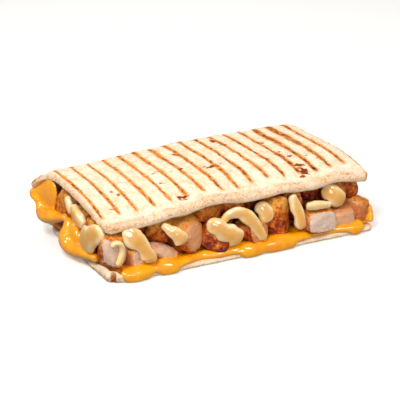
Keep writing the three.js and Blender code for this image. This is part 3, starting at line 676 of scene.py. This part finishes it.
def chicken_shape(grid, middle, half, turn, sear, tone, dark, seed, limits=None):
    """Points and marks of one piece. Its reach in a direction d is a soft least over its
    planes, (sum of (n.d / h) to the 40th) to the -1/40, never more than 1.13 times the space
    it has; wander adds lumps, fibres and the crust's pits."""
    random = np.random.default_rng(seed)
    directions = ball_directions(*grid) @ turned(turn).T
    normals, distances = box_planes(half, turn, random)
    ratio = np.clip(directions @ normals.T, 0, None) / distances
    total = (ratio ** SOFTNESS).sum(1)
    if limits is not None:
        room = (np.clip(directions @ limits[0].T, 0, None) / (limits[1] * ROOM)).max(1)
        total = total + room ** SOFTNESS
    points = middle + directions * (total ** (-1 / SOFTNESS))[:, None]

    # crust: on the sides that faced the pan, with a wandering border. near says for each of
    # the six ways how close a point is to the planes that face it.
    facing = np.maximum(normals @ (WAYS @ turned(turn).T).T, 0) ** 4
    near = (ratio / ratio.max(1)[:, None]) ** 4 @ facing
    border = wander(points, 3.5, seed) * 0.28 + wander(points, 1.3, seed + 1) * 0.14
    crust = np.zeros(len(points))
    for side, strength in enumerate(sear):
        crust = np.maximum(crust, strength * smooth((near[:, side] - 0.5 + border) / 0.25))
    fibre_way = turned(turn) @ np.array([1.0, 0.25, 0.1])
    along = (points - middle) @ fibre_way
    stretched = points - 0.82 * along[:, None] * fibre_way
    fibres = wander(stretched, 1.2, seed + 2)
    lumps = wander(points, 4.5, seed + 3) * 0.3 + wander(points, 2.0, seed + 4) * 0.16
    pits = smooth((wander(points, 1.0, seed + 5) - 0.25) / 0.4)
    pits = pits + 0.6 * smooth((wander(points, 1.9, seed + 6) - 0.3) / 0.4)
    moved = lumps + 0.13 * fibres * (1 - crust) - 0.34 * pits * crust + 0.12 * crust
    points = points + directions * moved[:, None]
    # painted shade: over its own darkness and random tone, each piece's crust is painted darker towards
    # its bottom and lighter at its top
    crust_darkness_and_painted_shade = dark + 0.2 * wander(points, 5, seed + 7) - 0.28 * (points[:, 2] - middle[2]) / half[2]
    return points, {"crust": crust, "tone": tone + 0 * crust, "dark": crust_darkness_and_painted_shade, "fibre": fibres}


def chicken_material():
    """Cut meat and browned crust, blended by the crust mark, with specks of pepper."""
    material, tree = new_material("fried_chicken")
    n = Nodes(tree)
    place = n.add("TexCoord", output=3)
    crust, tone, dark = n.mark("crust"), n.mark("tone"), n.mark("dark")

    # cut meat: white to mauve grey, pink or tan by its tone, with paler fibres
    meat = n.colours(tone, ((0.0, "ecd3c0"), (0.35, "f2c298"), (0.7, "e29a56"), (1.0, "c26c28")))
    streak = n.plus(n.times(n.mark("fibre"), 0.6), 0.5)
    meat = n.mix(n.times(n.ramp(streak, 0.35, 0.9), 0.3), meat, "ecd8c8")
    blush = n.ramp(n.noise(place, 3.6, 3, 0.6), 0.45, 0.72)
    meat = n.mix(n.times(blush, 0.45), meat, "e0a678")
    spice = n.ramp(n.noise(place, 0.9, 3, 0.7), 0.56, 0.68)
    meat = n.mix(n.times(spice, 0.4), meat, "c47438")

    # crust: golden, orange brown, red brown, with near black pits and paler scuffs
    blotch = n.noise(place, 2.8, 4, 0.65)
    grain = n.effect(toasted_grain, Place=place, Size=0.95)
    fine = grain["Lumps"]
    # the dark mark is the crust's own darkness with painted shade: darker towards each piece's bottom,
    # on the pieces in the back and on the heap's core
    depth = n.plus(dark, n.times(n.minus(blotch, 0.5), 2.0))
    depth = n.plus(depth, n.times(n.minus(fine, 0.5), 0.7))
    fried = n.colours(depth, ((0.0, "f0ac48"), (0.26, "e07e1c"), (0.5, "bc4c06"), (0.74, "862002"),
                              (1.0, "3a0d00")))
    pit = n.ramp(n.noise(place, 0.9, 2, 0.6), 0.6, 0.7)
    fried = n.mix(n.times(pit, 0.75), fried, "250a03")
    edge = n.plus(crust, n.times(n.minus(fine, 0.5), 0.7))
    share = n.ramp(edge, 0.3, 0.62)
    tint = n.ramp(edge, -0.08, 0.36)
    colour = n.mix(n.times(tint, 0.75), meat, "dc7c2c")
    colour = n.mix(share, colour, fried)

    pepper = n.times(n.ramp(n.noise(place, 1.5, 2, 0.6), 0.71, 0.75), 0.9)
    colour = n.mix(pepper, colour, "1c0f0a")
    roughness = n.plus(0.24, n.times(fine, 0.28))
    n.finish(colour, roughness, grain["Height"], 0.6 * MM, Specular_IOR_Level=0.4,
             Subsurface_Weight=0.06, Subsurface_Radius=(1.6 * MM, 0.9 * MM, 0.6 * MM))
    return material


# name, half sizes, turn, crust on the left, right, front, back, top and under side, tone of
# the cut meat from white (0) to tan (1), darkness of the crust, which for the pieces in the
# back is painted shade
CHICKEN = (
    ("corner", (8, 8.5, 10), (0, 6, -18), (1, 0.2, 0, 0.8, 0.9, 0.6), 0.05, 0.42),
    ("second", (5.8, 6, 5.6), (0, 0, 8), (0.4, 0.2, 0, 0.6, 0.75, 0.5), 0.1, 0.35),
    # painted shade: this piece sits in shade behind the second one and is painted dark brown with crust
    # all round
    ("behind_second", (6.5, 5.5, 5.5), (8, 0, 20), (1, 1, 0.9, 1, 1, 1), 0.7, 0.7),
    ("slab", (9.5, 6.5, 4.2), (0, 24, 6), (0.2, 0, 0, 0.4, 0, 1), 0.32, 0.5),
    ("seared_lump", (9, 6.5, 7), (10, 16, -8), (0.8, 0.9, 1, 0.8, 1, 0.3), 0.45, 0.3),
    ("pale_lump", (8.5, 9, 9.5), (0, -10, 24), (0.5, 0.9, 0.2, 0.6, 0.5, 0.9), 0.45, 0.3),
    ("tilted", (9.5, 8.5, 7), (-8, 18, -20), (1, 0.1, 1, 0.8, 0.55, 1), 0.45, 0.55),
    ("behind_tilted", (8, 5.5, 4.5), (0, 5, 12), (0.8, 0.5, 0.55, 0.6, 0.8, 0.5), 0.7, 0.4),
    ("upper_middle", (6.5, 5.5, 5), (6, 0, -15), (0.6, 0.9, 0.55, 0.6, 0.9, 0.7), 0.68, 0.45),
    ("under_blob", (7.2, 7.5, 6.2), (0, -8, 15), (0.8, 0.2, 0.25, 0.6, 0.5, 0.6), 0.6, 0.45),
    ("golden_tall", (7.6, 8.2, 10.8), (-6, 8, 28), (0.9, 0.8, 0.95, 1, 1, 1), 0.6, 0.38),
    ("behind_tall", (5.4, 6.5, 6), (0, 0, -12), (0.9, 0.9, 0.9, 1, 1, 1), 0.6, 0.42),
    # painted shade: this piece at the back is painted dark with crust all round
    ("in_shadow", (6, 5, 4), (0, 0, 10), (1, 1, 0.7, 1, 1, 1), 0.8, 0.7),
    ("white_face", (11, 8, 6.4), (-6, -2, 4), (0.5, 0.25, 0, 0.8, 1, 0.6), 0.0, 0.45),
    ("under_melt", (9, 6, 6), (0, 10, 6), (0.7, 0.6, 0.3, 0.8, 0.75, 0.7), 0.55, 0.4),
    ("top_right", (4.2, 6, 5.5), (0, 0, 12), (0.9, 1, 0.9, 1, 1, 1), 0.6, 0.5),
    ("low_right", (7, 7, 5.2), (0, -6, -8), (0.2, 0.2, 0.1, 0.8, 0.35, 0.7), 0.38, 0.4),
    ("last", (6.5, 7.5, 7), (0, 12, 14), (0.4, 0.8, 0.45, 0.9, 0.7, 0.7), 0.45, 0.4),
    ("left_front", (5.2, 7.5, 9.5), (0, 0, 6), (0.85, 0.8, 0.8, 0.8, 0.9, 0.8), 0.6, 0.45),
    ("left_middle", (5.2, 8, 10), (0, 4, -6), (0.9, 0.8, 0.8, 0.8, 0.9, 0.8), 0.6, 0.45),
    ("left_back", (6, 9, 11), (4, 0, 8), (0.75, 0.8, 0.8, 0.8, 0.9, 0.8), 0.85, 0.45),
    ("right_front", (6, 7.8, 9), (0, -6, -8), (0.8, 0.3, 0.9, 0.7, 0.9, 0.8), 0.35, 0.45),
    ("right_middle", (6, 7.5, 10), (0, 0, 10), (0.8, 0.1, 0.5, 0.7, 0.8, 0.6), 0.15, 0.4),
    ("right_back", (5.8, 8, 9), (0, 6, -12), (0.8, 0.9, 0.6, 0.7, 0.9, 0.8), 0.4, 0.55),
    ("right_fold", (5.2, 7.5, 10), (6, 0, 8), (0.8, 0.3, 0.8, 0.9, 1, 0.8), 0.5, 0.45),
)

fried_chicken = chicken_material()
for seed, (name, half, turn, sear, tone, dark) in enumerate(CHICKEN):
    node = "chicken_" + name
    low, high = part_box(node)
    middle = (np.array(low) + np.array(high)) / 2 / MM
    points, marks = chicken_shape(FINE, middle, half, turn, sear, tone, dark, 40 + 11 * seed,
                                  space_of(node, middle))
    mesh = mesh_from("dice_" + name, points, ring_faces(*FINE), marks)
    add_piece("dice_" + name, mesh, fried_chicken, [node])


HEAP_LOW, HEAP_HIGH = (np.array(v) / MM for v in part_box("chicken_heap"))
CORE_GRID = (60, 120)


def heap_core():
    """The smaller core of the heap inside, lumpy, and dark with painted shade: a block with round
    corners, whose reach is (sum of |d / half| to the 8th) to the -1/8."""
    middle, half = (HEAP_LOW + HEAP_HIGH) / 2, (HEAP_HIGH - HEAP_LOW) / 2 - [6, 4.5, 2.5]
    directions = ball_directions(*CORE_GRID)
    points = middle + directions * ((np.abs(directions / half) ** 8).sum(1) ** (-1 / 8))[:, None]
    lumps = 1.2 * wander(points, 6, 71) + 0.5 * wander(points, 2.5, 72)
    # painted shade: the core is all crust at near the darkest, for the shade it sits in
    marks = {"crust": 0.9, "tone": 0.9, "dark": 0.85, "fibre": 0.0}
    return mesh_from("chicken_core", points + directions * lumps[:, None], ring_faces(*CORE_GRID), marks)


def heap_dice():
    """Dice in rows over the front and the two ends of the core, each turned its own way."""
    random = np.random.default_rng(5)
    points, triangles, marks, count = [], [], {}, 0
    spots = [(x, HEAP_LOW[1] + 5.5, z) for x in np.arange(HEAP_LOW[0] + 6, HEAP_HIGH[0] - 4, 11.5)
             for z in (11, 22)]
    spots += [(x, y, z) for x in (HEAP_LOW[0] + 4.5, HEAP_HIGH[0] - 4.5)
              for y in np.arange(HEAP_LOW[1] + 14, HEAP_HIGH[1] - 6, 11.5) for z in (10, 21)]
    for number, spot in enumerate(spots):
        half = random.uniform(4.6, 6.4, 3)
        turn = random.uniform(-25, 25, 3)
        sear = random.uniform(0.2, 1.1, 6)
        middle = np.array(spot) + random.uniform(-0.8, 0.8, 3)
        tone, dark = random.uniform(0.3, 0.9), random.uniform(0.45, 0.8)
        die, die_marks = chicken_shape(COARSE, middle, half, turn, sear, tone, dark, 900 + 13 * number)
        points.append(die)
        triangles.append(ring_faces(*COARSE) + count)
        count += len(die)
        for key, values in die_marks.items():
            marks.setdefault(key, []).append(values)
    return mesh_from("chicken_inside", np.concatenate(points), np.concatenate(triangles),
                     {key: np.concatenate(values) for key, values in marks.items()})


add_piece("chicken_core", heap_core(), fried_chicken, ["chicken_heap"])
add_piece("chicken_inside", heap_dice(), fried_chicken)

# ------------------------------------------------------------------ orange cheese
# Slices of orange cheese that melted into one sheet on the lower layer and ran over its
# edges in lobes, with a curtain and two lobes that well out at the left end. The sheet and
# the runs overlap, and one fine remesh melts them together.

SHEET_TOP, SHEET_UNDER, ABOVE_TABLE = 5.3, 3.0, 0.4


def front_run(x):
    """How far the sheet runs out past the open edge, lobe by lobe."""
    return (0.4 + 2.8 * bump(x, -64, 9) + 2.2 * bump(x, -44, 6) - 2.6 * bump(x, -24, 9)
            + 2.4 * bump(x, 6, 7) + 2.2 * bump(x, 20, 6) + 1.8 * bump(x, 31, 5)
            - 2.6 * bump(x, 54, 10) + 1.6 * bump(x, 73, 8))


def left_run(y):
    """The same past the left end."""
    return -2.6 + 3.6 * bump(y, 2, 9) - 3.4 * bump(y, -40, 12)


def right_run(y):
    """The same past the right end."""
    return -0.8 + 1.2 * bump(y, -30, 7) + 1.2 * bump(y, 4, 7) + bump(y, 27, 6)


def sheet_points():
    """The sheet: its section, flat on top with a swollen rim that hangs where it ran over, is
    carried round the border, whose points carry how far the rim runs out."""
    slant = math.sqrt(0.5)
    corners = [(LEFT_END, 38), (LEFT_END, -31), (-74.5, OPEN_EDGE_BOTTOM), (80, OPEN_EDGE_BOTTOM),
               (RIGHT_END, -41), (RIGHT_END, 38), (LEFT_END, 38)]
    # for each stretch from corner to corner: steps, the way out, and how far the rim runs out
    stretches = ((110, (-1, 0), lambda x, y: left_run(y)),
                 (28, (-0.93, -0.37), lambda x, y: front_run(x) - 4.6),
                 (260, (0, -1), lambda x, y: front_run(x)),
                 (12, (slant, -slant), lambda x, y: -0.8),
                 (110, (1, 0), lambda x, y: right_run(y)),
                 (60, (0, 1), lambda x, y: 0.0))
    line = []
    for start, end, (steps, out, run) in zip(corners, corners[1:], stretches):
        t = np.linspace(0, 1, steps, endpoint=False)
        x, y = lerp(start[0], end[0], t), lerp(start[1], end[1], t)
        line.append(np.column_stack([x, y, np.broadcast_to(out, (steps, 2)), run(x, y) + 0 * x]))
    line = np.concatenate(line)
    # soften the turns of the border
    for _ in range(6):
        line = (line + np.roll(line, 1, 0) + np.roll(line, -1, 0)) / 3
    x, y, out_x, out_y, run = line.T
    ground = np.column_stack([x, y, 0 * x])
    run = run + wander(ground, 5, 51) * 0.5
    hang = smooth((run - 0.7) / 1.3)
    low = lerp(SHEET_UNDER, ABOVE_TABLE, hang)
    rise = 0.75 + 0.35 * hang + 0.3 * wander(ground, 8, 52)
    # the section as rings of (way out, height): the swollen top, the round rim, the underside
    inward = 9.0
    rings = [(run * (1 + d / inward) + d, SHEET_TOP + lift * rise) for d, lift in (
        (-inward, 1.6), (-6.0, 2.2), (-4.2, 2.6), (-2.6, 2.3), (-1.3, 1.4), (-0.5, 0.5))]
    middle = (SHEET_TOP + 0.3 + low) / 2
    half = (SHEET_TOP + 0.3 - low) / 2
    rings += [(run - 0.5 + 0.7 * np.cos(angle), middle + half * np.sin(angle))
              for angle in np.radians([60, 30, 0, -30, -60, -90])]
    under_rim = np.minimum(run - 0.9, 0.2)
    rings += [(under_rim, low), (under_rim - 0.2, SHEET_UNDER), (-inward, SHEET_UNDER)]
    stack = [np.column_stack([x + out_x * d, y + out_y * d, z + 0 * x]) for d, z in rings]
    middles = [stack[0].mean(0), stack[-1].mean(0)]
    return np.concatenate(stack + [middles]), ring_faces(len(stack), len(x))


def curve_through(stations, steps):
    """A smooth line through rows of numbers by Catmull and Rom's rule: between two rows the
    slope at each is half the way from the row before to the row after."""
    rows = np.array(stations, float)
    rows = np.vstack([2 * rows[0] - rows[1], rows, 2 * rows[-1] - rows[-2]])
    t = np.linspace(0, len(rows) - 3, steps)
    k = np.minimum(t.astype(int), len(rows) - 4)
    u = (t - k)[:, None]
    p0, p1, p2, p3 = rows[k], rows[k + 1], rows[k + 2], rows[k + 3]
    return 0.5 * (2 * p1 + (p2 - p0) * u + (2 * p0 - 5 * p1 + 4 * p2 - p3) * u ** 2
                  + (3 * p1 - 3 * p2 + p3 - p0) * u ** 3)


def run_points(stations, outward, steps, around, seed, swell):
    """Points, faces and marks of a run of melted cheese. Stations are (x, y, z, half width,
    half thickness); an oval section is carried along the smooth line through them, with its
    thickness along outward, its ends rounded off by a quarter circle and wander for
    unevenness. The core mark is 1 where one looks through the whole thickness, 0 at the edges."""
    line = curve_through(stations, steps)
    at, wide, thick = line[:, :3], line[:, 3], line[:, 4]
    tangent = np.gradient(at, axis=0)
    tangent /= np.linalg.norm(tangent, axis=1)[:, None]
    across = np.cross(tangent, outward)
    across /= np.linalg.norm(across, axis=1)[:, None]
    depth = np.cross(across, tangent)
    gone = np.concatenate([[0], np.cumsum(np.linalg.norm(np.diff(at, axis=0), axis=1))])
    from_end = np.minimum(gone, gone[-1] - gone)
    cap = np.clip(from_end / (0.8 * wide), 0, 1)
    cap = np.sqrt(np.clip(1 - (1 - cap) ** 2, 0.0004, 1))
    angle = np.linspace(0, 2 * np.pi, around, endpoint=False)
    turn_way = np.stack([np.cos(angle), np.sin(angle), 0 * angle], -1) * 2.5
    uneven = 1 + 0.26 * wander(at[:, None] + turn_way[None], 4.5, seed + 2)
    sideways = np.cos(angle) * (wide * cap)[:, None] * uneven
    outwards = np.sin(angle) * (1.4 * thick * cap)[:, None]
    points = at[:, None] + across[:, None] * sideways[..., None] + depth[:, None] * outwards[..., None]
    points = points.reshape(-1, 3)
    points = np.concatenate([points, at[:1], at[-1:]])
    shift = wander(points, 5, seed) * 0.5 + wander(points, 2.2, seed + 1) * swell
    points = points + shift[:, None] * (outward * 0.6 + 0.25)
    points[:, 2] = np.maximum(points[:, 2], ABOVE_TABLE)
    core = (np.abs(np.sin(angle)) ** 1.5 * (cap * np.minimum(1, thick / 2))[:, None]).ravel()
    return points, ring_faces(steps, around), {"core": np.append(core, [0, 0])}


LEFTWARDS, RIGHTWARDS, FORWARDS = np.array([[-1.0, 0, 0], [1.0, 0, 0], [0, -1.0, 0]])
# the way each run swells outwards, and its stations
WELLINGS = (
    # the curtain that fills the fold under the ear, and the run that stands it on the sheet
    (LEFTWARDS, ((-85.8, 46.6, 23.2, 3.6, 1.5), (-83.4, 42.5, 24, 5.8, 1.6), (-81.4, 35, 25.6, 8.6, 1.6),
                 (-80.6, 26, 25.2, 8.8, 1.4))),
    (LEFTWARDS, ((-81.6, 40, 24, 4.5, 1.8), (-81.2, 39.5, 17, 5, 2), (-80.4, 38, 11, 5.5, 2.4),
                 (-79, 36, 4.6, 5, 2.4))),
    # its lip: a drop from the ear, a thin edge down, and the first lobe, thinning to the front
    (LEFTWARDS, ((-86.8, 47.6, 25.5, 2, 1.5), (-86.6, 46.8, 21.4, 2.5, 1.7),
                 (-85.8, 43.8, 19.6, 1.9, 1.7), (-85, 42.4, 16.4, 1.7, 1.8), (-84.4, 41, 13.2, 2.8, 2.8),
                 (-84.2, 34, 12.6, 4.3, 3.9), (-83.4, 26, 14.4, 3.9, 3.5), (-82.2, 17, 16.6, 2.7, 2.6),
                 (-81, 9, 19.2, 2.4, 2))),
    # the second lobe, wide and low at the middle of the left end
    (LEFTWARDS, ((-80.8, 7, 20.5, 2.4, 1.8), (-82, 5, 15.5, 4.8, 2.6), (-83.4, 3.5, 9.6, 6.8, 3.9),
                 (-83.4, -3, 6.8, 4.8, 4.1), (-82.6, -11, 7.4, 4, 3.4), (-81.2, -21, 8.4, 2.8, 2.5),
                 (-80.2, -30, 9, 2, 1.8))),
    (LEFTWARDS, ((-80.4, 3, 18, 4.6, 2), (-81.2, -4, 14, 5.6, 2.4), (-81, -12, 11, 4.6, 2.4))),
    # the curl at the right end of the open edge
    (RIGHTWARDS, ((86, -42.5, 15, 1.4, 1.2), (86.5, -42.5, 9, 3.2, 1.5), (85, -42.5, 4.4, 5, 2.4))),
)


def orange_mesh():
    """The sheet and its runs as closed surfaces that overlap, in one mesh."""
    parts = [sheet_points()]
    for number, (outward, stations) in enumerate(WELLINGS):
        parts.append(run_points(stations, outward, 70, 64, 60 + number, 0.25)[:2])
    before = np.cumsum([0] + [len(points) for points, _ in parts])
    triangles = [facing_out(points, faces) + first for (points, faces), first in zip(parts, before)]
    return mesh_from("orange_cheese_melt", np.concatenate([points for points, _ in parts]),
                     np.concatenate(triangles))


def melted_group():
    """Melted cheese: a colour that wanders between two shades and deepens where the cheese is
    thick, a roughness for its oily film, and slow ripples as a height."""
    group, n, given, made = effect_group(
        "melted_cheese",
        {"Place": "Vector", "Light": "Color", "Deep": "Color", "Thick": "Color", "Core": "Float"},
        {"Colour": "Color", "Roughness": "Float", "Height": "Float"})
    place = given["Place"]
    colour = n.mix(n.ramp(n.noise(place, 9, 2), 0.35, 0.7), given["Light"], given["Deep"])
    core = n.times(n.ramp(given["Core"], 0.35, 1.0), 0.8)
    colour = n.mix(core, colour, given["Thick"])
    patches = n.ramp(n.noise(place, 4, 3, 0.6), 0.45, 0.75)
    colour = n.mix(n.times(patches, 0.35), colour, given["Thick"])
    film = n.times(n.ramp(n.noise(place, 4, 2), 0.4, 0.7), 0.08)
    group.links.new(colour, made["Colour"])
    group.links.new(n.plus(0.16, film), made["Roughness"])
    group.links.new(n.noise(place, 4.5, 1), made["Height"])
    return group


melted_cheese = melted_group()


def cheese_material(name, light, deep, thick):
    """The melted cheese in three colours, under a thin glossy coat of oil."""
    material, tree = new_material(name)
    n = Nodes(tree)
    look = n.effect(melted_cheese, Place=n.add("TexCoord", output=3), Light=light, Deep=deep,
                    Thick=thick, Core=n.mark("core"))
    n.finish(look["Colour"], look["Roughness"], look["Height"], 0.9 * MM, 0.3,
             Specular_IOR_Level=0.45, Subsurface_Weight=0.05,
             Subsurface_Radius=(2.2 * MM, 1.2 * MM, 0.4 * MM),
             Coat_Weight=0.5, Coat_Roughness=0.12, Coat_IOR=1.75)
    return material


orange_cheese = cheese_material("orange_cheese_melted", "ffae00", "fa9a00", "e07600")
orange = add_piece("orange_cheese_melt", orange_mesh(), orange_cheese,
                   ["orange_cheese"])
melt = orange.modifiers.new("melt_together", "REMESH")
melt.mode = "VOXEL"
melt.voxel_size = 0.75 * MM
melt.use_smooth_shade = True
even = orange.modifiers.new("even_out", "SMOOTH")
even.factor = 0.5
even.iterations = 5

# ------------------------------------------------------------------ pale cheese
# Shreds of pale cheese that melted over the chicken and drip from it as glossy strands and
# drops. Each is an oval section along a smooth line, and its amber core shows where it is thick.

# node, the way its thickness lies, and its stations
PALE = (
    ("left_high", LEFTWARDS, ((-80.6, 10, 31.5, 2.4, 1.2), (-81.2, 6, 28, 3.4, 1.6),
                              (-81, 2.5, 23.5, 2.4, 1.4))),
    ("left_middle", LEFTWARDS, ((-80.4, 1, 29, 2.2, 1.4), (-81.4, -5, 26.5, 4.6, 1.9),
                                (-81.4, -11, 24.6, 4.8, 2), (-81, -14.5, 24, 3.2, 1.7))),
    ("left_low", LEFTWARDS, ((-80.2, -38, 28, 4, 1.6), (-81.6, -30, 23, 6.4, 2.2),
                             (-82, -21.5, 17, 7, 2.6), (-81.4, -15, 11.5, 4.4, 2.2))),
    ("hook", FORWARDS, ((-78.8, -45.4, 21.4, 1.4, 1.2), (-76.4, -46, 23.2, 1.7, 1.4),
                        (-73.6, -46.2, 22, 1.8, 1.4), (-72.9, -46.4, 18, 1.7, 1.4),
                        (-74.4, -46.6, 13.5, 1.7, 1.5), (-75.9, -46.4, 10.4, 1.7, 1.5))),
    ("s_shape", FORWARDS, ((-66.5, -41, 30, 4.2, 1.5), (-65.5, -43.4, 24.5, 5, 1.9),
                           (-61.2, -45, 18.5, 4.5, 2.1), (-57.3, -46.2, 12.5, 4.1, 2.3),
                           (-57.4, -46.6, 8.6, 3.8, 2.2))),
    ("yellow", FORWARDS, ((-47, -41, 27, 1.6, 1.2), (-42.5, -43.6, 22.8, 2.8, 1.7),
                          (-37.5, -45, 18.6, 4.3, 2.3), (-35.2, -45.4, 16, 3.8, 2.2))),
    ("wide", FORWARDS, ((-20, -42.5, 24, 3.4, 1.6), (-13, -45, 19, 5.2, 2.1),
                        (-5.5, -46, 14, 5.8, 2.4), (-1.5, -46, 10, 4.6, 2.2))),
    ("arch", FORWARDS, ((-10.5, -41, 21, 2.4, 1.3), (-5.5, -42, 25.5, 3, 1.6),
                        (1.5, -43, 25, 3.6, 1.8), (7, -44.6, 19, 3.6, 1.9), (12.5, -46, 10.5, 2.8, 1.7),
                        (13.5, -46, 8, 2.2, 1.5))),
    ("blob", FORWARDS, ((13.5, -38.5, 27.5, 3.4, 1.6), (16.8, -41, 22, 4.8, 2.1),
                        (18, -43, 16.5, 3.6, 1.8))),
    ("upright", FORWARDS, ((34, -41.5, 30, 2.6, 1.4), (36, -43.6, 22, 3.4, 1.7),
                           (38, -45, 14, 4, 1.9), (38.6, -45.4, 9.4, 3.4, 1.7))),
    ("level", FORWARDS, ((42, -44.2, 22.5, 2.2, 1.3), (50, -44.8, 21.6, 2.4, 1.5),
                         (58.5, -44, 20.6, 1.8, 1.3))),
    ("melt", FORWARDS, ((56, -38, 28, 4.2, 1.7), (62.5, -41.2, 24.5, 6.4, 2.4),
                        (67.5, -42.4, 18.5, 4.6, 2.1))),
)

pale_cheese = cheese_material("pale_cheese_melted", "fdeabc", "f8d48a", "dc9420")
for seed, (name, outward, stations) in enumerate(PALE):
    points, faces, marks = run_points(stations, outward, 72, 48, 200 + 5 * seed, 0.3)
    mesh = mesh_from("melted_" + name, points, faces, marks)
    add_piece("melted_" + name, mesh, pale_cheese, ["pale_cheese_" + name])
